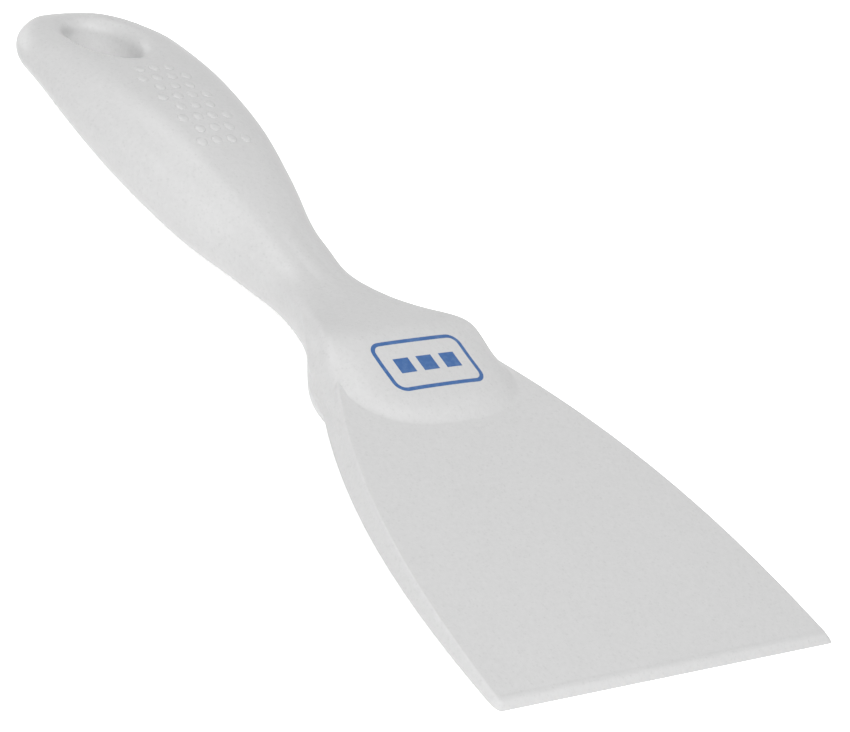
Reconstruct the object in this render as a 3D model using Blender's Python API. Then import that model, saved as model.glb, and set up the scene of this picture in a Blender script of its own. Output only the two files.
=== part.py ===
# Hand scraper: a wedge blade whose root and core are locked into a handle moulded over them.
# Both pieces are modelled about one level plane through the tool, with X across the blade,
# Y from the working edge to the handle's end and Z up out of the blade's upper face. An
# empty then lays the tool down on its working edge and on the handle's belly.
import math

import bmesh
import bpy
import numpy as np

# Blade: a wedge that is thin at the working edge, with a curved outline. Its front slopes
# out to a bevel and its sides flare, so that the underside is the larger face.
blade_width = 0.0751
blade_reach = 0.063
blade_pad_width = 0.0506
blade_edge_thickness = 0.00105
blade_root_thickness = 0.0057
blade_edge_top = 0.0011
blade_root_top = 0.00385
blade_root_length = 0.019
bevel_run = 0.0015
side_flare = 0.00115
blade_corner_round = 0.0003
blade_narrowing_shares = (0.10, 0.555, 0.345)

# Keying holes through the root, filled by posts of the handle
key_hole_radius = 0.003
key_hole_spacing = 0.019
key_hole_setback = 0.012

# Handle: a pad over the blade's root, a neck and a grip
pad_length = 0.035
pad_width = 0.039
pad_depth = 0.0135
neck_length = 0.020
neck_width = 0.0172
neck_depth = 0.0108
grip_length = 0.0792
grip_width = 0.0372
grip_depth = 0.0177
end_round = 0.016
end_fall = 0.007
facet_crown = 0.0003

# Core: the blade's own plastic, carried back through the handle under an even wall
handle_wall = 0.003
core_overlap = 0.004
core_facet_share = 0.35

# Hanging hole through the grip, an oval with a rolled lip
hole_width = 0.0164
hole_length = 0.0204
hole_lip = 0.0011
hole_setback = 0.0157

# Clearance between the two pieces, and how far a cutter runs past what it cuts
clearance = 0.0003
overrun = 0.004

# How finely the curved surfaces are cut into flat ones
blade_steps = 26
pad_front_steps = 9
handle_steps = 34
end_steps = 9
facet_steps = 3
side_steps = 5
belly_steps = 7
post_sides = 24
hole_sides = 36
lip_steps = 4

# One row for each station of the handle. The first number is its place, as a share of the
# length of that stretch. Next come the section's half width and the half width of its
# flat top, as shares of the stretch's half width, and the heights of its widest line, its
# top and its bottom over the level plane, as shares of the stretch's depth.
pad_shares = (
    (0.000, 0.05, 0.02, 0.00, 0.25, -0.165),
    (0.020, 0.31, 0.06, 0.02, 0.34, -0.27),
    (0.074, 0.575, 0.155, 0.00, 0.405, -0.34),
    (0.149, 0.77, 0.41, -0.045, 0.435, -0.39),
    (0.243, 0.905, 0.59, -0.10, 0.44, -0.42),
    (0.371, 0.97, 0.72, -0.16, 0.455, -0.465),
    (0.486, 0.99, 0.78, -0.14, 0.51, -0.49),
    (0.600, 0.915, 0.78, -0.04, 0.533, -0.455),
    (0.686, 0.82, 0.73, 0.015, 0.474, -0.43),
    (0.789, 0.72, 0.625, 0.02, 0.37, -0.445),
    (0.886, 0.64, 0.46, 0.03, 0.305, -0.51),
    (1.000, 0.565, 0.305, 0.05, 0.23, -0.595),
)
neck_shares = (
    (0.30, 1.00, 0.28, 0.00, 0.195, -0.81),
    (1.00, 1.12, 0.335, -0.18, 0.26, -1.00),
)
grip_shares = (
    (0.200, 0.745, 0.295, -0.12, 0.29, -0.706),
    (0.400, 0.92, 0.375, -0.07, 0.358, -0.68),
    (0.605, 1.00, 0.445, -0.07, 0.277, -0.56),
    (0.783, 0.963, 0.52, -0.12, 0.105, -0.465),
    (0.934, 0.89, 0.59, -0.147, -0.09, -0.495),
    (1.000, 0.89, 0.59, -0.147, -0.09, -0.495),
)

# How full the section is: its shoulders at the pad and at the grip, and its belly
pad_shoulder_power = 2.5
grip_shoulder_power = 1.7
belly_power = 2.2
facet_limit_share = 0.96
crown_limit_share = 0.1

# Places along the tool, from the working edge
pad_start = blade_reach
pad_end = pad_start + pad_length
neck_end = pad_end + neck_length
handle_end = neck_end + grip_length
root_end = blade_reach + blade_root_length
core_start = root_end - core_overlap
hole_place = handle_end - hole_setback
core_end = hole_place - hole_length / 2 - hole_lip - handle_wall


def clear_scene():
    for old in list(bpy.data.objects):
        bpy.data.objects.remove(old, do_unlink=True)


def collection_named(name):
    group = bpy.data.collections.new(name)
    bpy.context.scene.collection.children.link(group)
    return group


def plastic(name, colour, roughness):
    material = bpy.data.materials.new(name)
    material.use_nodes = True
    shader = material.node_tree.nodes["Principled BSDF"]
    shader.inputs["Base Color"].default_value = (*colour, 1.0)
    shader.inputs["Roughness"].default_value = roughness
    shader.inputs["Metallic"].default_value = 0.0
    return material


def loft(name, rings, group):
    # Closed rings of as many points each, joined by quads and closed at both ends
    mesh = bmesh.new()
    rows = [[mesh.verts.new(point) for point in ring] for ring in rings]
    count = len(rows[0])
    for row, after in zip(rows, rows[1:]):
        for k in range(count):
            n = (k + 1) % count
            mesh.faces.new((row[k], row[n], after[n], after[k]))
    mesh.faces.new(rows[0][::-1])
    mesh.faces.new(rows[-1])
    bmesh.ops.recalc_face_normals(mesh, faces=mesh.faces)
    data = bpy.data.meshes.new(name)
    mesh.to_mesh(data)
    mesh.free()
    piece = bpy.data.objects.new(name, data)
    group.objects.link(piece)
    return piece


def post(name, place, radius, group):
    # A round post or hole through the root, square to the blade's middle plane
    bpy.ops.mesh.primitive_cylinder_add(
        vertices=post_sides, radius=radius, depth=pad_depth + 2 * overrun, location=place)
    piece = bpy.context.active_object
    piece.name = name
    for old in list(piece.users_collection):
        old.objects.unlink(piece)
    group.objects.link(piece)
    return piece


def combine(piece, operation, other):
    boolean = piece.modifiers.new(operation.title(), "BOOLEAN")
    boolean.operation = operation
    boolean.object = other


def hide_guide(piece):
    piece.hide_render = True
    piece.display_type = "WIRE"


def smooth_through(places, values, wanted):
    # A curve through every row that rises and falls only where the rows do
    steps = np.diff(places)
    rises = np.diff(values) / steps
    slopes = np.zeros(len(places))
    slopes[0], slopes[-1] = rises[0], rises[-1]
    for k in range(1, len(places) - 1):
        before, after = rises[k - 1], rises[k]
        if before * after > 0:
            weights = (steps[k - 1] + 2 * steps[k], 2 * steps[k - 1] + steps[k])
            slopes[k] = sum(weights) / (weights[0] / before + weights[1] / after)
    k = int(np.clip(np.searchsorted(places, wanted) - 1, 0, len(steps) - 1))
    t = (wanted - places[k]) / steps[k]
    rise = values[k + 1] - values[k]
    bend = slopes[k] * steps[k] - rise
    unbend = rise - slopes[k + 1] * steps[k]
    return values[k] + t * rise + t * (1 - t) * ((1 - t) * bend + t * unbend)


def handle_rows():
    # The three stretches as one table in real sizes
    stretches = (
        (pad_shares, pad_start, pad_length, pad_width, pad_depth),
        (neck_shares, pad_end, neck_length, neck_width, neck_depth),
        (grip_shares, neck_end, grip_length, grip_width, grip_depth),
    )
    rows = []
    for shares, start, length, width, depth in stretches:
        for place, wide, flat, widest, top, bottom in shares:
            rows.append((start + place * length, wide * width / 2, flat * width / 2,
                         widest * depth, top * depth, bottom * depth))
    return np.array(rows).T


handle_table = handle_rows()


def station(y):
    # Half width, half width of the flat top, widest line, top and bottom at one place
    return [smooth_through(handle_table[0], column, y) for column in handle_table[1:]]


def section(half, flat, widest, top, bottom, power):
    # A flat top, shoulders that roll down to the widest line, and a full belly
    crown = min(facet_crown, crown_limit_share * (top - widest))
    right = []
    for k in range(facet_steps):
        u = k / facet_steps
        right.append((flat * u, top - crown * u * u))
    for k in range(side_steps):
        s = math.sin(k / side_steps * math.pi / 2)
        fall = (1 - s ** power) ** (1 / power)
        right.append((flat + (half - flat) * s, widest + (top - crown - widest) * fall))
    for k in range(belly_steps + 1):
        t = k / belly_steps * math.pi / 2
        across = max(math.cos(t), 0.0) ** (2 / belly_power)
        down = math.sin(t) ** (2 / belly_power)
        right.append((half * across, widest + (bottom - widest) * down))
    left = [(-x, z) for x, z in right[-2:0:-1]]
    return right + left


def end_scale(y, length):
    # How much of the section is left where the end is rounded off over this length
    gone = max(0.0, y - (handle_end - length)) / length
    return math.sqrt(max(0.0, 1 - gone * gone))


def handle_ring(y):
    half, flat, widest, top, bottom = station(y)
    narrow = end_scale(y, end_round)
    low = end_scale(y, end_fall)
    middle = (top + bottom) / 2
    blend = min(1.0, max(0.0, (y - pad_end) / neck_length))
    power = pad_shoulder_power + (grip_shoulder_power - pad_shoulder_power) * blend
    flat = min(flat, facet_limit_share * half)
    outline = section(half * narrow, flat * narrow, widest, top, bottom, power)
    return [(x, y, middle + (z - middle) * low) for x, z in outline]


def handle_places():
    # Closer together where the pad's front and the handle's end curve in
    front = [pad_start + (key_hole_setback * (k / pad_front_steps) ** 2) for k in range(pad_front_steps)]
    start = pad_start + key_hole_setback
    stop = handle_end - end_round
    body = [start + (stop - start) * k / handle_steps for k in range(handle_steps)]
    turn = [math.sin(k / end_steps * math.pi / 2) for k in range(end_steps)]
    return front + body + [stop + end_round * s for s in turn]


def half_width(y):
    # The upper face narrows slowly at first and faster towards the root
    s = max(0.0, y) / blade_reach
    lost = sum(share * s ** (k + 1) for k, share in enumerate(blade_narrowing_shares))
    return blade_width / 2 - (blade_width - blade_pad_width) / 2 * lost


def wedge_level(y, at_edge, at_root):
    # Height of one of the wedge's two flat faces
    return at_edge + (at_root - at_edge) * y / root_end


def blade_top(y):
    return wedge_level(y, blade_edge_top, blade_root_top)


def blade_bottom(y):
    edge = blade_edge_top - blade_edge_thickness
    return wedge_level(y, edge, blade_root_top - blade_root_thickness)


def blade_ring(y, grow, run):
    # Flared sides under softened upper corners; run carries the underside forward
    half = half_width(y) + grow
    top = blade_top(y) + grow
    bottom = blade_bottom(y - run) - grow
    soft = blade_corner_round
    share = soft / (top - bottom)
    right = [
        (half - soft, y, top),
        (half + side_flare * share, y - run * share, top - soft),
        (half + side_flare, y - run, bottom),
    ]
    return right + [(-x, along, z) for x, along, z in right[::-1]]


def core_ring(y, grow):
    half, flat, widest, top, bottom = station(y)
    inset = handle_wall - grow
    middle = (top + bottom) / 2
    inner = half - inset
    outline = section(inner, core_facet_share * inner, middle, top - inset, bottom + inset, grip_shoulder_power)
    return [(x, y, z) for x, z in outline]


def spread(start, stop, count):
    return [start + (stop - start) * k / count for k in range(count + 1)]


def core_rings(grow):
    return [core_ring(y, grow) for y in spread(core_start - grow, core_end + grow, handle_steps)]


def key_places():
    y = pad_start + key_hole_setback
    return [(side * key_hole_spacing / 2, y, 0.0) for side in (-1, 1)]


def make_blade(parts, cutters, material):
    rings = [blade_ring(0.0, 0.0, bevel_run)]
    rings += [blade_ring(y, 0.0, 0.0) for y in spread(0.0, root_end, blade_steps)[1:]]
    blade = loft("blade", rings, parts)
    core = loft("core_shape", core_rings(0.0), cutters)
    hide_guide(core)
    combine(blade, "UNION", core)
    for k, place in enumerate(key_places()):
        hole = post(f"key_hole_{k + 1}", place, key_hole_radius, cutters)
        hide_guide(hole)
        combine(blade, "DIFFERENCE", hole)
    blade.data.materials.append(material)
    return blade


def surface_heights(x, y):
    # Where the handle's upper and lower surfaces lie over one point
    ring = handle_ring(y)
    turn = facet_steps + side_steps
    upper = ring[:turn + 1]
    lower = ring[turn:turn + belly_steps + 1][::-1]
    heights = []
    for points in (upper, lower):
        across = [point[0] for point in points]
        up = [point[2] for point in points]
        heights.append(float(np.interp(abs(x), across, up)))
    return heights


def hanging_hole_rings():
    # An oval bore whose lip rolls over onto the surface above and below
    def ring(outset, side, sink):
        points = []
        for k in range(hole_sides):
            turn = 2 * math.pi * k / hole_sides
            x = (hole_width / 2 + outset) * math.cos(turn)
            y = hole_place + (hole_length / 2 + outset) * math.sin(turn)
            upper, lower = surface_heights(x, y)
            level = upper - sink if side > 0 else lower + sink
            points.append((x, y, level))
        return points

    rolled = []
    for k in range(1, lip_steps + 1):
        turn = k / lip_steps * math.pi / 2
        rolled.append((hole_lip * (1 - math.sin(turn)), hole_lip * (1 - math.cos(turn))))
    lifted = (hole_lip, -overrun)
    upper = [ring(outset, 1, sink) for outset, sink in [lifted] + rolled]
    lower = [ring(outset, -1, sink) for outset, sink in [lifted] + rolled]
    return upper + lower[::-1]


def make_handle(parts, cutters, material):
    handle = loft("handle", [handle_ring(y) for y in handle_places()], parts)
    slot_start = pad_start - overrun
    slot_rings = [blade_ring(y, clearance, 0.0) for y in spread(slot_start, root_end + clearance, blade_steps)]
    slot = loft("slot", slot_rings, cutters)
    for k, place in enumerate(key_places()):
        kept = post(f"post_{k + 1}", place, key_hole_radius - clearance, cutters)
        hide_guide(kept)
        combine(slot, "DIFFERENCE", kept)
    cavity = loft("cavity", core_rings(clearance), cutters)
    hanging_hole = loft("hanging_hole", hanging_hole_rings(), cutters)
    for cutter in (slot, cavity, hanging_hole):
        hide_guide(cutter)
        combine(handle, "DIFFERENCE", cutter)
    handle.data.materials.append(material)
    return handle


def lay_down(pieces, group):
    # The tool lies on its working edge and on the lowest line of the handle's belly
    edge_y, edge_z = -bevel_run, blade_bottom(-bevel_run)
    rings = [handle_ring(y) for y in handle_places()]
    tilt = 0.0
    for ring in rings:
        x, y, z = min(ring, key=lambda point: point[2])
        tilt = max(tilt, math.atan2(edge_z - z, y - edge_y))
    forward = [y * math.cos(tilt) - z * math.sin(tilt) for ring in rings for x, y, z in ring]
    front = edge_y * math.cos(tilt) - edge_z * math.sin(tilt)
    low = edge_y * math.sin(tilt) + edge_z * math.cos(tilt)
    rest = bpy.data.objects.new("rest", None)
    rest.location = (0.0, -(front + max(forward)) / 2, -low)
    rest.rotation_euler = (tilt, 0.0, 0.0)
    group.objects.link(rest)
    for piece in pieces:
        piece.parent = rest


def main():
    clear_scene()
    parts = collection_named("hand_scraper")
    cutters = collection_named("cutters")
    blade_plastic = plastic("blade_plastic", (0.62, 0.62, 0.61), 0.5)
    handle_plastic = plastic("handle_plastic", (0.68, 0.68, 0.67), 0.45)
    blade = make_blade(parts, cutters, blade_plastic)
    handle = make_handle(parts, cutters, handle_plastic)
    for piece in (blade, handle):
        piece.data.shade_smooth()
        piece.data.set_sharp_from_angle(angle=math.radians(30))
    lay_down((blade, handle, *cutters.objects), parts)


main()
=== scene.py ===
import math

import bmesh
import bpy
import numpy as np
from mathutils import Matrix, Vector


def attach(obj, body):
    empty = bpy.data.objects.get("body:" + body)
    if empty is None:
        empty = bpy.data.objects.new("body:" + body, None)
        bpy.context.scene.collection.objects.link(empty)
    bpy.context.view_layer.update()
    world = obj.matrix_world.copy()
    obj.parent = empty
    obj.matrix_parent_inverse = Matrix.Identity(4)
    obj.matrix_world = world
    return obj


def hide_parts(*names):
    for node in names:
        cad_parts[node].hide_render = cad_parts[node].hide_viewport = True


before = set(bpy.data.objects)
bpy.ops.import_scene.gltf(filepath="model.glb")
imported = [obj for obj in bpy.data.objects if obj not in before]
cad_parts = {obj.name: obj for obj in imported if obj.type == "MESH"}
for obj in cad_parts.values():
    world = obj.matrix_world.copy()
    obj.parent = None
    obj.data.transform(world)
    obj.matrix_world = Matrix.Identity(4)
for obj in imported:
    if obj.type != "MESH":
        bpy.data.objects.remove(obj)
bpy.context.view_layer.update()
print("frame loaded")

# All sizes are metres. The tool is worked out about one level plane, with X across the blade,
# Y from the working edge to the handle's end and Z up, and is then laid down on the floor.

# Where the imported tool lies: it rests on its working edge and on the handle's belly
resting = {"tilt": 0.0941562, "place": (0.0, -0.0975790, 0.0000566)}
lying = Matrix.Translation(Vector(resting["place"])) @ Matrix.Rotation(resting["tilt"], 4, "X")
print("laid down at", [round(v, 5) for v in lying.translation])


def intoScene(name, mesh):
    # finishes a bmesh as an object whose place is in its mesh
    bmesh.ops.transform(mesh, matrix=lying, verts=mesh.verts)
    bmesh.ops.recalc_face_normals(mesh, faces=mesh.faces)
    data = bpy.data.meshes.new(name)
    mesh.to_mesh(data)
    mesh.free()
    piece = bpy.data.objects.new(name, data)
    bpy.context.scene.collection.objects.link(piece)
    data.shade_smooth()
    return piece


def skin(rings):
    # a closed mesh through rings that all have the same number of points
    mesh = bmesh.new()
    rows = [[mesh.verts.new(point) for point in ring] for ring in rings]
    count = len(rows[0])
    for row, after in zip(rows, rows[1:]):
        for k in range(count):
            n = (k + 1) % count
            mesh.faces.new((row[k], row[n], after[n], after[k]))
    mesh.faces.new(rows[0][::-1])
    mesh.faces.new(rows[-1])
    return mesh


def applied(piece):
    # the piece with its modifiers turned into a plain mesh
    seen = piece.evaluated_get(bpy.context.evaluated_depsgraph_get())
    data = bpy.data.meshes.new_from_object(seen)
    piece.modifiers.clear()
    old = piece.data
    piece.data = data
    bpy.data.meshes.remove(old)
    return piece


# Node maths: a wrapped socket, and a small bench that makes nodes

class Wire:
    def __init__(self, bench, socket):
        self.bench, self.socket = bench, socket

    def maths(self, operation, a, b):
        return self.bench.make("ShaderNodeMath", {"operation": operation}, {0: a, 1: b})

    def __add__(self, other):
        return self.maths("ADD", self, other)

    def __radd__(self, other):
        return self.maths("ADD", other, self)

    def __sub__(self, other):
        return self.maths("SUBTRACT", self, other)

    def __rsub__(self, other):
        return self.maths("SUBTRACT", other, self)

    def __mul__(self, other):
        return self.maths("MULTIPLY", self, other)

    def __rmul__(self, other):
        return self.maths("MULTIPLY", other, self)


class Bench:
    def __init__(self, name, tree=None):
        if tree is None:
            self.material = bpy.data.materials.new(name)
            self.material.use_nodes = True
            tree = self.material.node_tree
        self.tree = tree
        self.tree.nodes.clear()

    def make(self, kind, settings=None, values=None, out=0):
        node = self.tree.nodes.new(kind)
        for key, value in (settings or {}).items():
            setattr(node, key, value)
        for key, value in (values or {}).items():
            if isinstance(value, Wire):
                self.tree.links.new(value.socket, node.inputs[key])
            else:
                node.inputs[key].default_value = value
        return Wire(self, node.outputs[out]) if len(node.outputs) else node

    def spread(self, value, low, high):
        # 0 below low, 1 above high, straight between
        return self.make("ShaderNodeMapRange", {"clamp": True}, {
            "Value": value, "From Min": low, "From Max": high})

    def noise(self, at, scale, detail):
        return self.make("ShaderNodeTexNoise", {}, {"Vector": at, "Scale": scale, "Detail": detail})

    def tint(self, amount, plain, tinted):
        # plain where the amount is 0, tinted where it is 1
        return self.make("ShaderNodeMix", {"data_type": "RGBA"}, {0: amount, 6: plain, 7: tinted}, out=2)

    def finish(self, shader):
        self.make("ShaderNodeOutputMaterial", {}, {"Surface": shader})
        return self.material


# Plastic, whose scales are cells in a metre

plasticLooks = {
    "bladePlastic": {"colour": (0.625, 0.625, 0.625), "roughness": 0.42},
    "handlePlastic": {"colour": (0.625, 0.625, 0.625), "roughness": 0.42},
}
plasticGrain = {
    "speckScales": (1250.0, 2100.0),
    "speckSize": 0.38,        # of the cells that the specks lie in
    "speckTint": 0.14,        # how far towards the shade a speck goes
    "speckChance": (0.15, 1.0),               # cells below the first have no speck
    "mottleScale": 1100.0,
    "mottleTint": 0.11,
    "mottleDetail": 1.0,
    "cloudScale": 160.0,
    "cloudTint": 0.04,
    "cloudDetail": 3.0,
    "evenTint": 0.03,         # everywhere alike
    "shadeShare": 0.25,       # how light the tint is beside the plastic
    "grainScale": 3200.0,
    "grainDetail": 2.0,
    "roughnessSwing": 0.12,
    "bumpDistance": 0.00004,
    "bumpStrength": 0.22,
}


def mouldedPlastic(name):
    # pale plastic with soft clouds, a fine mottle and small darker specks
    look, grain = plasticLooks[name], plasticGrain
    bench = Bench(name)
    at = bench.make("ShaderNodeTexCoord", out="Object")
    clouds, fine, mottle = (bench.noise(at, grain[kind + "Scale"], grain[kind + "Detail"])
                            for kind in ("cloud", "grain", "mottle"))
    amount = (clouds - 0.5) * grain["cloudTint"] + (mottle - 0.5) * grain["mottleTint"] + grain["evenTint"]
    for scale in grain["speckScales"]:
        cells = {"Vector": at, "Scale": scale}
        apart = bench.make("ShaderNodeTexVoronoi", {}, cells)
        chance = bench.make("ShaderNodeTexVoronoi", {}, cells, out="Color")
        dot = bench.spread(grain["speckSize"] - apart, 0.0, grain["speckSize"])
        strength = bench.spread(bench.make("ShaderNodeSeparateColor", {}, {0: chance}), *grain["speckChance"])
        amount = amount + dot * strength * grain["speckTint"]
    colour = (*look["colour"], 1.0)
    shade = tuple(v * grain["shadeShare"] for v in look["colour"]) + (1.0,)
    base = bench.tint(amount, colour, shade)
    rough = (fine - 0.5) * grain["roughnessSwing"] + look["roughness"]
    bump = bench.make("ShaderNodeBump", {}, {
        "Strength": grain["bumpStrength"], "Distance": grain["bumpDistance"], "Height": fine})
    shader = bench.make("ShaderNodeBsdfPrincipled", {}, {
        "Base Color": base, "Roughness": rough, "Normal": bump})
    return bench.finish(shader)


bladePlastic = mouldedPlastic("bladePlastic")
handlePlastic = mouldedPlastic("handlePlastic")


# Blade

bladeSizes = {
    "width": 0.0751,          # across the upper face at the working edge
    "reach": 0.063,           # from the working edge to the front of the pad
    "padWidth": 0.0506,       # across the upper face where the pad starts
    "edgeThickness": 0.00105,
    "rootThickness": 0.0057,
    "edgeTop": 0.0011,        # height of the upper face at the edge
    "rootTop": 0.00385,       # and at the end of the root
    "rootLength": 0.019,      # behind the front of the pad
    "bevelRun": 0.00155,      # how far the underside stands out before the upper face
    "sideFlare": 0.00115,     # and beside it
    "upperRound": 0.0005,     # softening of the edge round the upper face
    "lowerRound": 0.0002,
    "cornerRound": 0.0010,    # of the corner in plan, and larger than what lies inside it
    "narrowingShares": (0.10, 0.555, 0.345),  # straight, square and cubic part of the narrowing
    "sideSteps": 70,
    "cornerSteps": 8,
    "roundSteps": 6,
    "flatEdge": 0.00013,      # a flat strip beside each softened edge
    "faceStrips": (3, 1),     # how many of them, one inside the other, on the upper face
    "sideStrips": (2, 3),     # what a strip is divided by, down the side from each edge
    "insideShare": 0.6,       # a place well inside the outline, as a share of its length
}

rootEnd = bladeSizes["reach"] + bladeSizes["rootLength"]


def bladeHalfWidth(y):
    s = max(0.0, y) / bladeSizes["reach"]
    lost = sum(share * s ** (k + 1) for k, share in enumerate(bladeSizes["narrowingShares"]))
    return bladeSizes["width"] / 2 - (bladeSizes["width"] - bladeSizes["padWidth"]) / 2 * lost


def bladeTop(y):
    return bladeSizes["edgeTop"] + (bladeSizes["rootTop"] - bladeSizes["edgeTop"]) * y / rootEnd


def bladeBottom(y):
    edge = bladeSizes["edgeTop"] - bladeSizes["edgeThickness"]
    root = bladeSizes["rootTop"] - bladeSizes["rootThickness"]
    return edge + (root - edge) * y / rootEnd


def bladeOutline():
    # upper points with their outer lower partners, from the right of the root round the edge
    s = bladeSizes
    pairs = []
    for y in np.linspace(rootEnd, s["cornerRound"], s["sideSteps"]):
        half = bladeHalfWidth(y)
        pairs.append(((half, y), (half + s["sideFlare"], y)))
    half = bladeHalfWidth(0.0)
    r = s["cornerRound"]
    for k in range(1, s["cornerSteps"] + 1):
        turn = k / s["cornerSteps"] * math.pi / 2
        x, y = half - r + r * math.cos(turn), r - r * math.sin(turn)
        pairs.append(((x, y), (x + s["sideFlare"], y - s["bevelRun"] * math.sin(turn))))
    left = [((-a[0], a[1]), (-b[0], b[1])) for a, b in pairs[::-1]]
    return pairs + left


def makeBlade():
    s = bladeSizes
    pairs = bladeOutline()
    upper = np.array([a for a, b in pairs])
    outer = np.array([b for a, b in pairs])
    centre = np.array([0.0, rootEnd * s["insideShare"]])
    top = np.column_stack([upper, [bladeTop(y) for x, y in upper]])
    low = np.column_stack([outer, [bladeBottom(y) for x, y in outer]])
    ahead = np.roll(upper, -1, axis=0) - np.roll(upper, 1, axis=0)
    inward = np.column_stack([ahead[:, 1], -ahead[:, 0]])
    inward /= np.linalg.norm(inward, axis=1)[:, None]
    toCentre = centre - upper
    inward *= np.sign((inward * toCentre).sum(axis=1))[:, None]
    slope = low - top
    slope /= np.linalg.norm(slope, axis=1)[:, None]

    def lay(points, level):
        return np.column_stack([points, [level(y) for x, y in points]])

    flat = s["flatEdge"]
    soft = s["upperRound"]
    # flat strips on both sides of a softened edge keep its shading off the faces beside it
    rings = [lay(upper + inward * (soft + strips * flat), bladeTop) for strips in s["faceStrips"]]
    inner = lay(upper + inward * soft, bladeTop)
    outerPoint = top + slope * soft
    for k in range(s["roundSteps"] + 1):
        t = k / s["roundSteps"]
        rings.append((1 - t) ** 2 * inner + 2 * t * (1 - t) * top + t * t * outerPoint)
    rings.append(outerPoint + slope * flat / s["sideStrips"][0])
    soft = s["lowerRound"]
    outerPoint = low - slope * soft
    rings.append(outerPoint - slope * flat / s["sideStrips"][1])
    inner = lay(outer + inward * soft, bladeBottom)
    for k in range(s["roundSteps"] + 1):
        t = k / s["roundSteps"]
        rings.append((1 - t) ** 2 * outerPoint + 2 * t * (1 - t) * low + t * t * inner)
    rings.append(lay(outer + inward * (soft + flat), bladeBottom))
    blade = intoScene("scraperBlade", skin(rings))
    blade.data.materials.append(bladePlastic)
    return blade


blade = makeBlade()
print("blade made")


# Handle

handleSizes = {
    "end": 0.1971,            # from the working edge
    "endRound": 0.016,        # over this length the width closes
    "roundPower": 1.88,       # 2 is an ellipse, more is squarer
    "endFall": 0.010,         # over this length the top comes down
    "endPower": 2.0,
    "endRise": 0.0055,        # over this length the belly comes up
    "leastScale": 1e-4,       # what is left of the last section
    "tipHeight": 0.33,        # the end's tip, as a share of the section's height
    "facetCrown": 0.0003,     # how far the middle of the upper facet stands over its sides
    "crownShare": 0.1,        # of the height over the side, where that is less
    "bellyPower": 2.2,        # how square the underside's section is
    "outlinePoints": (40, 160, 30, 161),      # on the facet, the shoulder, the side and the belly
    "smoothing": 0.0022,      # how far the rows below are blended into one another
    "smoothStep": 0.00025,    # how finely that is worked out
    "smoothReach": 3,         # and over how many times the smoothing
    "joinedTo": 0.1,          # the pads, the web and the body flow together as far as this
    "searchRange": (0.0002, 0.045),           # the skin lies between these distances
    "halvings": 22,
    "stretches": (            # from, to, how far apart the rings are; the first lie inside the blade
        (0.0615, 0.0622, 0.00035),
        (0.0622, 0.0660, 0.00014),
        (0.0660, 0.0800, 0.00030),
        (0.0800, 0.0980, 0.00045),
        (0.0980, 0.1812, 0.00110),
    ),
    "endRings": 36,
    "rays": 620,              # to each half of a ring
    "rayStretch": 4.0,        # draws the rays to the sides
    "ringPoints": 150,        # on each half of a ring
    "bendWeight": 0.0016,     # draws points to where a ring bends
    "bendReach": 6,           # over this many points to each side
    "softenings": 20,         # along each ring of the grip
    "softeningShare": ((0.094, 0.104, 0.112), (0.0, 0.7, 1.0)),   # at these places
}

# Place, half width, facet half width, upper and lower end of the side, top, bottom (millimetres)
# and how square the shoulder is
bodyRows = np.array((
    (60.0, 18.0, 15.0, 1.2, -0.2, 1.8, -0.6, 2.4),
    (68.0, 19.3, 16.5, 1.5, -0.6, 2.3, -0.9, 2.4),
    (72.0, 20.3, 17.5, 2.0, -1.0, 2.8, -1.5, 2.4),
    (75.0, 19.3, 15.5, 2.0, -1.2, 2.9, -2.2, 2.4),
    (78.0, 18.5, 13.0, 1.8, -0.6, 4.2, -3.2, 3.2),
    (81.0, 18.1, 13.4, 1.7, 0.5, 6.6, -4.0, 4.8),
    (84.0, 17.8, 12.7, 1.4, 1.2, 7.4, -5.0, 5.0),
    (87.0, 16.2, 10.2, 1.2, 1.1, 6.7, -5.6, 4.2),
    (90.6, 14.0, 8.5, 0.9, 0.7, 5.2, -6.0, 3.6),
    (94.0, 12.4, 7.0, 0.7, 0.3, 4.15, -6.9, 3.1),
    (98.0, 10.6, 4.4, 0.3, -0.1, 3.15, -8.0, 2.5),
    (101.0, 9.5, 3.5, 0.0, -0.4, 2.7, -8.5, 2.2),
    (104.0, 8.8, 2.6, -0.6, -0.9, 2.25, -8.75, 2.0),
    (107.0, 8.4, 2.1, -1.2, -1.3, 2.1, -9.0, 1.85),
    (110.0, 8.5, 2.0, -1.5, -1.5, 2.2, -9.4, 1.75),
    (114.0, 9.22, 2.3, -1.5, -1.5, 2.54, -10.1, 1.75),
    (119.0, 9.8, 2.4, -2.0, -2.0, 2.9, -10.9, 1.7),
    (124.0, 10.9, 3.5, -2.15, -2.15, 3.56, -11.6, 1.7),
    (129.0, 12.5, 4.6, -2.15, -2.15, 4.5, -12.2, 1.7),
    (133.84, 13.86, 5.3, -2.1, -2.1, 5.13, -12.5, 1.7),
    (149.7, 17.1, 6.5, -1.24, -1.24, 6.34, -12.0, 1.7),
    (165.9, 18.6, 7.8, -1.24, -1.24, 4.9, -9.9, 1.7),
    (180.0, 18.0, 9.7, -2.2, -2.2, 2.1, -8.2, 1.7),
    (191.97, 16.75, 11.0, -4.0, -4.0, -0.6, -8.76, 1.7),
    (200.0, 16.75, 11.0, -4.0, -4.0, -0.6, -8.76, 1.7),
)) * (0.001, 0.001, 0.001, 0.001, 0.001, 0.001, 0.001, 1.0)

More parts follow.
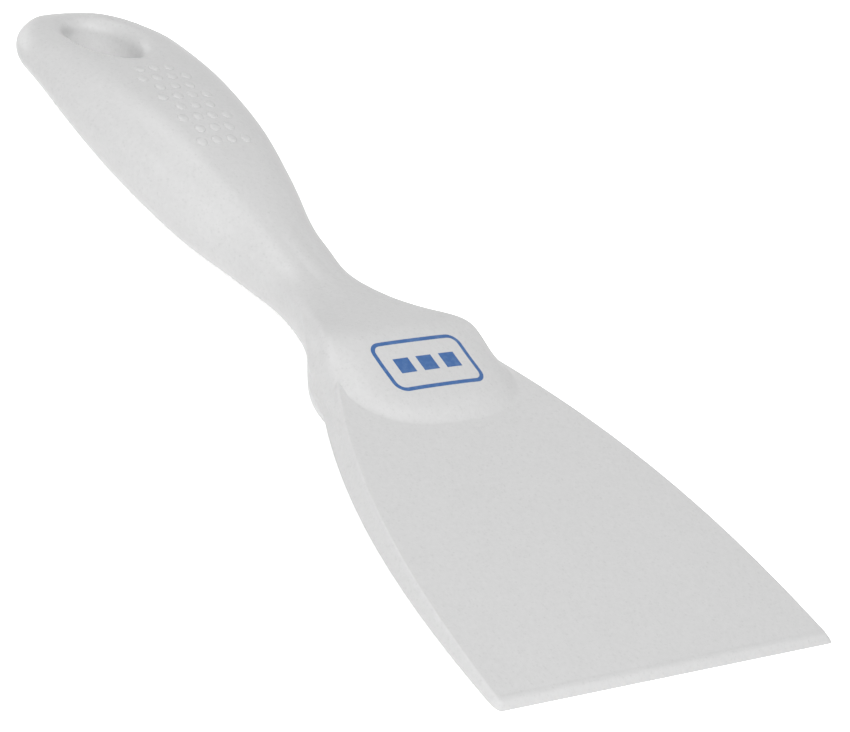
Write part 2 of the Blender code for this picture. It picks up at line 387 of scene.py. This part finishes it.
padSizes = {
    "rootDepth": 0.0010,      # how far each pad goes on below its base
    "rootFlow": 0.0006,       # how far the web flows into the blade's sides
    "upper": {"middle": 0.0790, "front": 0.0168, "back": 1.0, "frontPower": 2.8, "backPower": 2.0,
              "base": -0.0005, "risePower": 3.6},
    "lower": {"middle": 0.0740, "front": 0.0120, "back": 0.0185, "frontPower": 2.6, "backPower": 2.0,
              "base": 0.0000, "risePower": 4.0},
    "lowerFlow": 0.0018,      # how far the lower pad flows into the rest
    "edgeFlow": 0.002,        # how round the root's upper edges are under the web
    "lowerEdgeFlow": 0.002 / 3,
    "rootInset": 0.000015,    # keeps the web under the blade's own faces
    "slopeStep": 0.00002,     # for the slope of a pad's field
    "leastSlope": 1e-6,
}
# Place, half width and crest of the upper pad and of the lower pad, and how far the upper
# pad has sunk into the web (millimetres)
padRows = np.array((
    (60.0, 20.0, 5.6, 20.6, -5.3, 0.0),
    (66.0, 20.0, 5.85, 20.6, -5.4, 0.0),
    (71.0, 20.0, 5.95, 20.6, -5.7, 0.0),
    (76.0, 19.0, 6.3, 20.4, -6.3, 0.0),
    (80.0, 19.2, 7.0, 20.4, -6.6, 0.0),
    (83.0, 18.4, 7.4, 20.4, -6.4, 0.1),
    (86.0, 16.6, 6.9, 20.2, -6.3, 0.6),
    (90.0, 14.0, 5.2, 20.0, -6.3, 2.8),
    (95.0, 12.0, 4.0, 19.8, -6.3, 8.0),
    (100.0, 9.0, 3.4, 19.8, -6.3, 14.0),
)) * 0.001

# Place and how far forms flow into one another there (millimetres)
flowRows = np.array((
    (60.0, 0.8),
    (76.0, 0.8),
    (80.0, 1.2),
    (100.0, 1.2),
)) * 0.001

holeSizes = {
    "width": 0.0132,
    "length": 0.0168,
    "lip": 0.0036,            # radius of the rolled lip
    "lowerLipShare": 0.35,    # of that, on the underside
    "setback": 0.0156,        # of the hole's middle from the handle's end
    "overrun": 0.012,         # how far the cutter stands out of the handle
    "sides": 160,
    "lipSteps": 12,
    "firstTurnDegrees": 7,
    "softInside": 0.0018,     # how far from the rim the crease is softened
    "softOutside": 0.0014,
    "softTimes": 12,
    "softFactor": 0.5,
    "softAbove": -0.0035,     # only points over this height
    "softWithin": (0.015, 0.017),             # and this far across and along from the middle
}

handleEnd = handleSizes["end"]
holePlace = handleEnd - holeSizes["setback"]


def smoothThrough(places, values, wanted):
    # a curve through every row that rises and falls only where the rows do
    steps = np.diff(places)
    rises = np.diff(values) / steps
    slopes = np.zeros(len(places))
    slopes[0], slopes[-1] = rises[0], rises[-1]
    for k in range(1, len(places) - 1):
        before, after = rises[k - 1], rises[k]
        if before * after > 0:
            weights = (steps[k - 1] + 2 * steps[k], 2 * steps[k - 1] + steps[k])
            slopes[k] = sum(weights) / (weights[0] / before + weights[1] / after)
    k = np.clip(np.searchsorted(places, wanted) - 1, 0, len(steps) - 1)
    t = (wanted - places[k]) / steps[k]
    rise = values[k + 1] - values[k]
    bend = slopes[k] * steps[k] - rise
    unbend = rise - slopes[k + 1] * steps[k]
    return values[k] + t * rise + t * (1 - t) * ((1 - t) * bend + t * unbend)


def blended(rows, ys):
    # every column of the rows at the wanted places, with their bends softened
    step, smoothing = handleSizes["smoothStep"], handleSizes["smoothing"]
    fine = np.arange(rows[0, 0], rows[-1, 0], step)
    reach = int(handleSizes["smoothReach"] * smoothing / step)
    bell = np.exp(-0.5 * (np.arange(-reach, reach + 1) * step / smoothing) ** 2)
    bell /= bell.sum()
    columns = []
    for column in rows.T[1:]:
        values = np.array([smoothThrough(rows[:, 0], column, y) for y in fine])
        padded = np.pad(values, reach, "edge")
        columns.append(np.interp(ys, fine, np.convolve(padded, bell, "valid")))
    return np.array(columns)


def endScale(y, length, power=2.0):
    gone = np.clip((y - (handleEnd - length)) / length, 0, 1)
    return (1 - gone ** power) ** (1 / power)


def ringPlaces():
    parts = [np.arange(low, high - step / 2, step) for low, high, step in handleSizes["stretches"]]
    turn = np.sin(np.arange(handleSizes["endRings"]) / handleSizes["endRings"] * math.pi / 2)
    return np.concatenate(parts + [handleEnd - handleSizes["endRound"] * (1 - turn)])


def halfOutline(row):
    # the right half of one body section, from the top's middle to the bottom's
    half, flat, sideTop, sideLow, top, bottom, power = row
    crown = min(handleSizes["facetCrown"], handleSizes["crownShare"] * (top - sideTop))
    onFacet, onShoulder, onSide, onBelly = handleSizes["outlinePoints"]
    u = np.linspace(0, 1, onFacet, endpoint=False)
    turn = np.sin(np.linspace(0, 1, onShoulder, endpoint=False) * math.pi / 2)
    down = np.linspace(0, 1, onSide, endpoint=False)
    under = np.linspace(0, 1, onBelly) * math.pi / 2
    across = (flat * u, flat + (half - flat) * turn, half + 0 * down,
              half * np.cos(under).clip(0) ** (2 / handleSizes["bellyPower"]))
    up = (top - crown * u * u, sideTop + (top - crown - sideTop) * (1 - turn ** power) ** (1 / power),
          sideTop + (sideLow - sideTop) * down,
          sideLow + (bottom - sideLow) * np.sin(under) ** (2 / handleSizes["bellyPower"]))
    return np.concatenate(across), np.concatenate(up)


def flowTogether(a, b, reach):
    # the smaller of two distances, rounded where they are alike
    near = np.clip(reach - np.abs(a - b), 0, None) / reach
    return np.minimum(a, b) - near * near * reach / 4


def padField(pad, x, y, z, half, crest):
    # below 0 inside the pad, above 0 outside it
    along = (y - pad["middle"]) / np.where(y < pad["middle"], pad["front"], pad["back"])
    power = np.where(y < pad["middle"], pad["frontPower"], pad["backPower"])
    plan = (np.abs(x / half) ** power + np.abs(along) ** power) ** (1 / power)
    over = z - pad["base"]
    rise = np.where(over > 0, over / (crest - pad["base"]), -over / padSizes["rootDepth"])
    return (plan ** pad["risePower"] + rise ** pad["risePower"]) ** (1 / pad["risePower"]) - 1


def padDistance(pad, x, y, z, half, crest):
    # the field over its slope, which is close to a distance near the pad's surface
    step = padSizes["slopeStep"]
    level = padField(pad, x, y, z, half, crest)
    slopes = [padField(pad, x + dx, y + dy, z + dz, half, crest) - level
              for dx, dy, dz in ((step, 0, 0), (0, step, 0), (0, 0, step))]
    return level / np.maximum(np.sqrt(sum(v * v for v in slopes)) / step, padSizes["leastSlope"])


def bladeDistance(x, y, z, half, lean):
    # how far a place is outside the blade, whose edges are rounded a little
    top, bottom = bladeTop(y), bladeBottom(y)
    out = (np.abs(x) - half - bladeSizes["sideFlare"] * (top - z) / (top - bottom)) / np.sqrt(1 + lean * lean)
    out = -flowTogether(-out, -(z - top), padSizes["edgeFlow"])
    out = -flowTogether(-out, -(bottom - z), padSizes["lowerEdgeFlow"])
    return np.maximum(out, y - rootEnd) + padSizes["rootInset"]


def bodySections(ys):
    # the body's rows at every ring, drawn in towards the handle's end
    s = handleSizes
    rows = blended(bodyRows, ys)
    narrow = endScale(ys, s["endRound"], s["roundPower"]).clip(s["leastScale"])
    rise = endScale(ys, s["endRise"]).clip(s["leastScale"])
    fall = endScale(ys, s["endFall"], s["endPower"]).clip(s["leastScale"])
    rows[0:2] *= narrow
    middle = rows[5] + s["tipHeight"] * (rows[4] - rows[5])
    rows[2:6] -= middle
    rows[2:6] *= np.where(rows[2:6] > 0, fall, rise)
    rows[2:6] += middle
    return rows


def joinedRadii(ys, centre, body, bodySteep, angles):
    # how far from each ring's centre the skin lies where pads, web, blade and body flow together
    y, mid = ys[:, None], centre[:, None]
    dx, dz = np.cos(angles)[None, :], np.sin(angles)[None, :]
    upperHalf, upperCrest, lowerHalf, lowerCrest, sunk = blended(padRows, ys)[:, :, None]
    flow = blended(flowRows, ys)[0][:, None]
    bladeHalf = np.array([bladeHalfWidth(v) for v in ys])
    lean = np.gradient(bladeHalf, ys)[:, None]

    def distance(r):
        x, z = r * dx, mid + r * dz
        upper = padDistance(padSizes["upper"], x, y, z, upperHalf, upperCrest) + sunk
        lower = padDistance(padSizes["lower"], x, y, -z, lowerHalf, -lowerCrest)
        root = bladeDistance(x, y, z, bladeHalf[:, None], lean)
        web = flowTogether((r - body) / bodySteep, root, padSizes["rootFlow"])
        return flowTogether(flowTogether(web, upper, flow), lower, padSizes["lowerFlow"])

    nearest, farthest = (np.full(body.shape, limit) for limit in handleSizes["searchRange"])
    for _ in range(handleSizes["halvings"]):
        half = (nearest + farthest) / 2
        inside = distance(half) < 0
        nearest, farthest = np.where(inside, half, nearest), np.where(inside, farthest, half)
    return (nearest + farthest) / 2


def spacedRing(y, across, up):
    # a whole ring from its right half, with more points where it bends
    s = handleSizes
    window = 2 * s["bendReach"] + 1
    step = np.hypot(np.diff(across), np.diff(up))
    heading = np.unwrap(np.arctan2(np.diff(up), np.diff(across)))
    bend = np.abs(np.gradient(heading))
    bend = np.convolve(np.pad(bend, s["bendReach"], "edge"), np.ones(window) / window, "valid")
    travel = np.concatenate([[0], np.cumsum(step + s["bendWeight"] * bend)])
    wanted = np.linspace(0, travel[-1], s["ringPoints"])
    half = np.stack([np.interp(wanted, travel, across), np.full(len(wanted), y),
                     np.interp(wanted, travel, up)], 1)
    half[0, 0] = half[-1, 0] = 0
    return np.concatenate([half, half[-2:0:-1] * (-1, 1, 1)])


def handleRings():
    # the whole skin as rings, each worked out along rays from its centre
    s = handleSizes
    ys = ringPlaces()
    rows = bodySections(ys)
    centre = (rows[2] + rows[3]) / 2
    t = np.linspace(math.pi / 2, -math.pi / 2, s["rays"])
    angles = np.arctan2(np.sin(t), s["rayStretch"] * np.cos(t))
    radii = np.empty((len(ys), len(t)))
    for i in range(len(ys)):
        across, up = halfOutline(rows[:, i])
        bearing = np.arctan2(up - centre[i], across)
        order = np.argsort(bearing)
        radii[i] = np.interp(angles, bearing[order], np.hypot(across, up - centre[i])[order])
    swing = np.gradient(radii, angles, axis=1) / radii
    climb = np.gradient(radii, ys, axis=0)
    steep = np.sqrt(1 + swing * swing + climb * climb)
    joined = ys < s["joinedTo"]
    radii[joined] = joinedRadii(ys[joined], centre[joined], radii[joined], steep[joined], angles)
    rings = np.array([spacedRing(y, r * np.cos(angles), mid + r * np.sin(angles))
                      for y, r, mid in zip(ys, radii, centre)])
    softened = rings.copy()
    for _ in range(s["softenings"]):
        softened = (np.roll(softened, 1, axis=1) + 2 * softened + np.roll(softened, -1, axis=1)) / 4
    share = np.interp(ys, *s["softeningShare"])[:, None, None]
    return rings + (softened - rings) * share


def surfaceHeights(rings, x, y):
    # upper and lower surface at one place, from the two rings round it
    places = rings[:, 0, 1]
    k = int(np.clip(np.searchsorted(places, y) - 1, 0, len(places) - 2))
    share = (y - places[k]) / (places[k + 1] - places[k])
    heights = []
    for ring in (rings[k], rings[k + 1]):
        right = ring[:handleSizes["ringPoints"]]
        side = int(np.argmax(right[:, 0]))
        heights.append((np.interp(abs(x), right[:side + 1, 0], right[:side + 1, 2]),
                        np.interp(abs(x), right[side:][::-1, 0], right[side:][::-1, 2])))
    return [float(a + (b - a) * share) for a, b in zip(*heights)]


def softenRim(handle):
    # rounds the crease where the lip of the hole leaves the upper surface
    s = holeSizes
    mesh = bmesh.new()
    mesh.from_mesh(handle.data)
    level = lying.inverted()
    halfWide, halfLong = s["width"] / 2 + s["lip"], s["length"] / 2 + s["lip"]
    acrossLimit, alongLimit = s["softWithin"]
    near = []
    for point in mesh.verts:
        x, y, z = level @ point.co
        along = y - holePlace
        if z < s["softAbove"] or abs(x) > acrossLimit or abs(along) > alongLimit:
            continue
        turn = math.atan2(along / halfLong, x / halfWide)
        rim = math.hypot(halfWide * math.cos(turn), halfLong * math.sin(turn))
        if -s["softInside"] < math.hypot(x, along) - rim < s["softOutside"]:
            near.append(point)
    for _ in range(s["softTimes"]):
        bmesh.ops.smooth_vert(mesh, verts=near, factor=s["softFactor"],
                              use_axis_x=True, use_axis_y=True, use_axis_z=True)
    mesh.to_mesh(handle.data)
    mesh.free()


def hangingHole(rings):
    # the solid that is cut out of the handle: the oval with both of its rolled lips
    s = holeSizes

    def ring(outset, side, sink):
        points = []
        for k in range(s["sides"]):
            turn = 2 * math.pi * k / s["sides"]
            x = (s["width"] / 2 + outset) * math.cos(turn)
            y = holePlace + (s["length"] / 2 + outset) * math.sin(turn)
            upper, lower = surfaceHeights(rings, x, y)
            points.append((x, y, upper - sink if side > 0 else lower + sink))
        return points

    first = math.radians(s["firstTurnDegrees"])
    rolled = []
    for k in range(s["lipSteps"] + 1):
        turn = first + k / s["lipSteps"] * (math.pi / 2 - first)
        rolled.append((s["lip"] * (1 - math.sin(turn)), s["lip"] * (1 - math.cos(turn))))
    levels = [(rolled[0][0], -s["overrun"])] + rolled
    loops = [ring(a, 1, b) for a, b in levels]
    lower = [(a * s["lowerLipShare"], b * s["lowerLipShare"] if b > 0 else b) for a, b in levels]
    loops += [ring(a, -1, b) for a, b in lower[::-1]]
    return intoScene("holeCutter", skin(loops))


def makeHandle(rings):
    handle = intoScene("scraperHandle", skin(rings))
    cutter = hangingHole(rings)
    cut = handle.modifiers.new("hangingHole", "BOOLEAN")
    cut.operation = "DIFFERENCE"
    cut.object = cutter
    applied(handle)
    bpy.data.objects.remove(cutter)
    softenRim(handle)
    handle.data.shade_smooth()
    handle.data.materials.clear()
    handle.data.materials.append(handlePlastic)
    return handle


handleSkin = handleRings()
handle = makeHandle(handleSkin)
print("handle made,", len(handle.data.polygons), "faces")


# Low round pips on the grip's upper facet

pipSizes = {
    "radius": 0.0011,
    "height": 0.00024,
    "from": 0.1420,
    "to": 0.1665,
    "apart": 0.00345,         # from row to row
    "across": 0.0034,         # from pip to pip
    "perRow": 4,              # and one less in every other row
    "sides": 24,
    "bands": 12,
    "slopeStep": 0.0004,      # for the slope of the surface under a pip
}


def pipTree():
    # the same low dome on every point, turned to the surface under it
    s = pipSizes
    tree = bpy.data.node_groups.new("raisedPips", "GeometryNodeTree")
    face = tree.interface
    face.new_socket("Places", in_out="INPUT", socket_type="NodeSocketGeometry")
    named = {}
    inputs = {"Radius": "NodeSocketFloat", "Height": "NodeSocketFloat", "Finish": "NodeSocketMaterial"}
    for label, kind in inputs.items():
        named[label] = face.new_socket(label, in_out="INPUT", socket_type=kind).identifier
    face.new_socket("Pips", in_out="OUTPUT", socket_type="NodeSocketGeometry")
    bench = Bench("raisedPips", tree)
    given = tree.nodes.new("NodeGroupInput")
    wanted = {label: Wire(bench, given.outputs[label]) for label in ("Places", *inputs)}
    flat = bench.make("ShaderNodeMath", {"operation": "DIVIDE"}, {0: wanted["Height"], 1: wanted["Radius"]})
    ball = bench.make("GeometryNodeMeshUVSphere", {}, {
        "Segments": s["sides"], "Rings": s["bands"], "Radius": wanted["Radius"]})
    low = bench.make("ShaderNodeCombineXYZ", {}, {"X": 1.0, "Y": 1.0, "Z": flat})
    dome = bench.make("GeometryNodeTransform", {}, {"Geometry": ball, "Scale": low})
    upright = bench.make("GeometryNodeInputNamedAttribute", {"data_type": "FLOAT_VECTOR"}, {
        "Name": "surfaceNormal"})
    turned = bench.make("FunctionNodeAlignRotationToVector", {"axis": "Z"}, {"Vector": upright})
    many = bench.make("GeometryNodeInstanceOnPoints", {}, {
        "Points": wanted["Places"], "Instance": dome, "Rotation": turned})
    real = bench.make("GeometryNodeRealizeInstances", {}, {"Geometry": many})
    smooth = bench.make("GeometryNodeSetShadeSmooth", {}, {"Geometry": real})
    done = bench.make("GeometryNodeSetMaterial", {}, {"Geometry": smooth, "Material": wanted["Finish"]})
    result = tree.nodes.new("NodeGroupOutput")
    tree.links.new(done.socket, result.inputs[0])
    return tree, named


def makePips(rings):
    # staggered rows of points on the facet, each with the surface's own direction
    s = pipSizes
    mesh = bmesh.new()
    upright = mesh.verts.layers.float_vector.new("surfaceNormal")
    step = s["slopeStep"]
    for row, y in enumerate(np.arange(s["from"], s["to"], s["apart"])):
        count = s["perRow"] - row % 2
        for k in range(count):
            x = (k - (count - 1) / 2) * s["across"]
            level = surfaceHeights(rings, x, y)[0]
            outward = surfaceHeights(rings, abs(x) + step, y)[0] - level
            ahead = surfaceHeights(rings, x, y + step)[0] - level
            out = Vector((-outward * np.sign(x) / step, -ahead / step, 1.0)).normalized()
            mesh.verts.new((x, y, level))[upright] = lying.to_3x3() @ out
    pips = intoScene("gripPips", mesh)
    tree, named = pipTree()
    repeated = pips.modifiers.new("raisedPips", "NODES")
    repeated.node_group = tree
    for label, value in (("Radius", s["radius"]), ("Height", s["height"]), ("Finish", handlePlastic)):
        repeated[named[label]] = value
    return applied(pips)


# Printed mark on the pad: a thin frame round three squares

markSizes = {
    "middle": 0.0750,
    "halfWidth": 0.0102,
    "halfDepth": 0.0058,
    "corner": 0.0024,
    "line": 0.0008,
    "lineRows": 3,            # of points across the line
    "square": 0.0034,
    "squaresApart": 0.0052,
    "cells": 8,               # along a square's side and round a corner
    "step": 0.0005,           # along the straight lines
    "proud": 0.00003,         # how far the print stands over the pad
    "sunk": 0.00008,          # and reaches into it
}
markLooks = {
    "colour": (0.021, 0.102, 0.305),
    "worn": (0.075, 0.17, 0.38),
    "wearScale": 900.0,
    "wearDetail": 3.0,
    "wearRange": (0.45, 0.85),
    "roughness": 0.42,
    "roughnessSwing": 0.15,
    "grainScale": 3200.0,
    "grainDetail": 2.0,
    "bumpStrength": 0.2,
    "bumpDistance": 0.00003,
}


def printedInk():
    look = markLooks
    bench = Bench("printedInk")
    at = bench.make("ShaderNodeTexCoord", out="Object")
    wear = bench.spread(bench.noise(at, look["wearScale"], look["wearDetail"]), *look["wearRange"])
    fine = bench.noise(at, look["grainScale"], look["grainDetail"])
    base = bench.tint(wear, (*look["colour"], 1.0), (*look["worn"], 1.0))
    rough = (fine - 0.5) * look["roughnessSwing"] + look["roughness"]
    bump = bench.make("ShaderNodeBump", {}, {
        "Strength": look["bumpStrength"], "Distance": look["bumpDistance"], "Height": fine})
    return bench.finish(bench.make("ShaderNodeBsdfPrincipled", {}, {
        "Base Color": base, "Roughness": rough, "Normal": bump}))


def film(mesh, rings, grid, closed):
    # a thin closed skin that follows the pad, from rows of places
    def lay(lift):
        return [[mesh.verts.new((x, y, surfaceHeights(rings, x, y)[0] + lift)) for x, y in row]
                for row in grid]

    over, under = lay(markSizes["proud"]), lay(-markSizes["sunk"])
    count, wide = len(grid), len(grid[0])
    for i in range(count if closed else count - 1):
        n = (i + 1) % count
        for j in range(wide - 1):
            mesh.faces.new((over[i][j], over[n][j], over[n][j + 1], over[i][j + 1]))
            mesh.faces.new((under[i][j], under[i][j + 1], under[n][j + 1], under[n][j]))
        for j in (0, wide - 1):
            mesh.faces.new((over[i][j], over[n][j], under[n][j], under[i][j]))
    for i in () if closed else (0, count - 1):
        for j in range(wide - 1):
            mesh.faces.new((over[i][j], over[i][j + 1], under[i][j + 1], under[i][j]))


def makeMark(rings):
    s = markSizes
    mesh = bmesh.new()
    long, deep = s["halfWidth"] - s["corner"], s["halfDepth"] - s["corner"]
    path = []
    corners = ((long, deep), (-long, deep), (-long, -deep), (long, -deep))
    for quarter, (cx, cy) in enumerate(corners):
        for k in range(s["cells"] + 1):
            turn = (quarter + k / s["cells"]) * math.pi / 2
            path.append(((cx, cy), (math.cos(turn), math.sin(turn))))
        nx, ny = corners[(quarter + 1) % 4]
        parts = int(math.hypot(nx - cx, ny - cy) / s["step"])
        path += [((cx + (nx - cx) * k / parts, cy + (ny - cy) * k / parts), path[-1][1])
                 for k in range(1, parts)]
    frameLine = [[(c[0] + n[0] * (s["corner"] - d), s["middle"] + c[1] + n[1] * (s["corner"] - d))
                  for d in np.linspace(0, s["line"], s["lineRows"])] for c, n in path]
    film(mesh, rings, frameLine, True)
    across = np.linspace(-s["square"] / 2, s["square"] / 2, s["cells"] + 1)
    for middle in (-s["squaresApart"], 0.0, s["squaresApart"]):
        film(mesh, rings, [[(middle + x, s["middle"] + y) for y in across] for x in across], False)
    mark = intoScene("padMark", mesh)
    mark.data.shade_flat()
    mark.data.materials.append(printedInk())
    return mark


pips = makePips(handleSkin)
mark = makeMark(handleSkin)
print("pips and mark made")

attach(blade, "root")
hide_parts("blade")
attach(handle, "root")
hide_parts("handle")
for small in (pips, mark):
    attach(small, "root")


# Camera, as the photograph was taken

cameraView = {
    "azimuthDegrees": -49.07,
    "elevationDegrees": 31.66,
    "rollDegrees": 23.54,
    "distance": 0.7446,
    "aim": (0.00643, 0.08079, 0.0),
    "focalPixels": 4200.0,
    "imageWidthPixels": 850,
    "sensorWidth": 36.0,
}


def makeCamera():
    s = cameraView
    az, el = math.radians(s["azimuthDegrees"]), math.radians(s["elevationDegrees"])
    back = Vector((math.sin(az) * math.cos(el), -math.cos(az) * math.cos(el), math.sin(el)))
    level = Vector((math.cos(az), math.sin(az), 0.0))
    above = back.cross(level)
    roll = math.radians(s["rollDegrees"])
    right = level * math.cos(roll) + above * math.sin(roll)
    up = back.cross(right)
    place = Matrix.Translation(Vector(s["aim"]) + back * s["distance"])
    turned = Matrix((right, up, back)).transposed().to_4x4()
    camera = bpy.data.objects.new("photoCamera", bpy.data.cameras.new("photoCamera"))
    camera.data.sensor_fit = "HORIZONTAL"
    camera.data.sensor_width = s["sensorWidth"]
    camera.data.lens = s["focalPixels"] / s["imageWidthPixels"] * s["sensorWidth"]
    camera.matrix_world = lying @ place @ turned
    bpy.context.scene.collection.objects.link(camera)
    bpy.context.scene.camera = camera


makeCamera()


# Studio: a pale floor, a soft world and large soft lamps

studio = {
    "floorSize": 6.0,
    "floorColour": (0.95, 0.95, 0.95),
    "floorGlow": 0.4,         # seen, not cast
    "floorBounce": 0.21,      # cast, as from a table lit from below
    "white": (1.0, 1.0, 1.0, 1.0),
    "worldStrength": 0.27,
    "lampAway": 1.1,
    "lampSize": 0.45,
    "lamps": (
        # azimuth from +X, elevation (degrees), watts
        (202, 35, 3.1),
        (247, 35, 3.9),
        (226, 62, 1.8),
        (284, 27, 1.5),
        (82, 62, 2.0),
        (90, 12, 1.4),
        (157, 35, 0.3),
    ),
}


def seenDirectly(bench):
    # 1 for what the camera sees, also in a mirror or through glass, and 0 for the light that is cast
    camera, glossy, through = (bench.make("ShaderNodeLightPath", out=f"Is {kind} Ray")
                               for kind in ("Camera", "Glossy", "Transmission"))
    return bench.make("ShaderNodeMath", {"operation": "ADD", "use_clamp": True}, {
        0: camera + glossy, 1: through})


def makeFloor():
    s = studio
    half = s["floorSize"] / 2
    mesh = bmesh.new()
    corners = [mesh.verts.new((x * half, y * half, 0.0)) for x, y in ((-1, -1), (1, -1), (1, 1), (-1, 1))]
    mesh.faces.new(corners)
    data = bpy.data.meshes.new("floor")
    mesh.to_mesh(data)
    mesh.free()
    floor = bpy.data.objects.new("floor", data)
    bpy.context.scene.collection.objects.link(floor)
    bench = Bench("paleFloor")
    matt = bench.make("ShaderNodeBsdfDiffuse", {}, {"Color": (*s["floorColour"], 1.0)})
    cast, glow = (bench.make("ShaderNodeEmission", {}, {"Color": s["white"], "Strength": s[strength]})
                  for strength in ("floorBounce", "floorGlow"))
    plain = bench.make("ShaderNodeAddShader", {}, {0: matt, 1: cast})
    bright = bench.make("ShaderNodeAddShader", {}, {0: plain, 1: glow})
    mixed = bench.make("ShaderNodeMixShader", {}, {0: seenDirectly(bench), 1: plain, 2: bright})
    floor.data.materials.append(bench.finish(mixed))


def makeWorld():
    world = bpy.data.worlds.new("softWorld")
    bpy.context.scene.world = world
    world.use_nodes = True
    bench = Bench("softWorld", world.node_tree)
    cast = bench.make("ShaderNodeBackground", {}, {
        "Color": studio["white"], "Strength": studio["worldStrength"]})
    backdrop = bench.make("ShaderNodeBackground", {}, {"Color": studio["white"]})
    mixed = bench.make("ShaderNodeMixShader", {}, {0: seenDirectly(bench), 1: cast, 2: backdrop})
    bench.make("ShaderNodeOutputWorld", {}, {"Surface": mixed})


def makeLamps():
    for k, (azimuth, elevation, power) in enumerate(studio["lamps"]):
        data = bpy.data.lights.new(f"softLamp{k + 1}", "AREA")
        data.shape = "DISK"
        data.size = studio["lampSize"]
        data.energy = power
        az, el = math.radians(azimuth), math.radians(elevation)
        away = Vector((math.cos(az) * math.cos(el), math.sin(az) * math.cos(el), math.sin(el)))
        lamp = bpy.data.objects.new(data.name, data)
        lamp.location = away * studio["lampAway"]
        lamp.rotation_euler = away.to_track_quat("Z", "Y").to_euler()
        bpy.context.scene.collection.objects.link(lamp)


makeFloor()
makeWorld()
makeLamps()
bpy.context.scene.view_settings.view_transform = "Standard"
print("studio made")
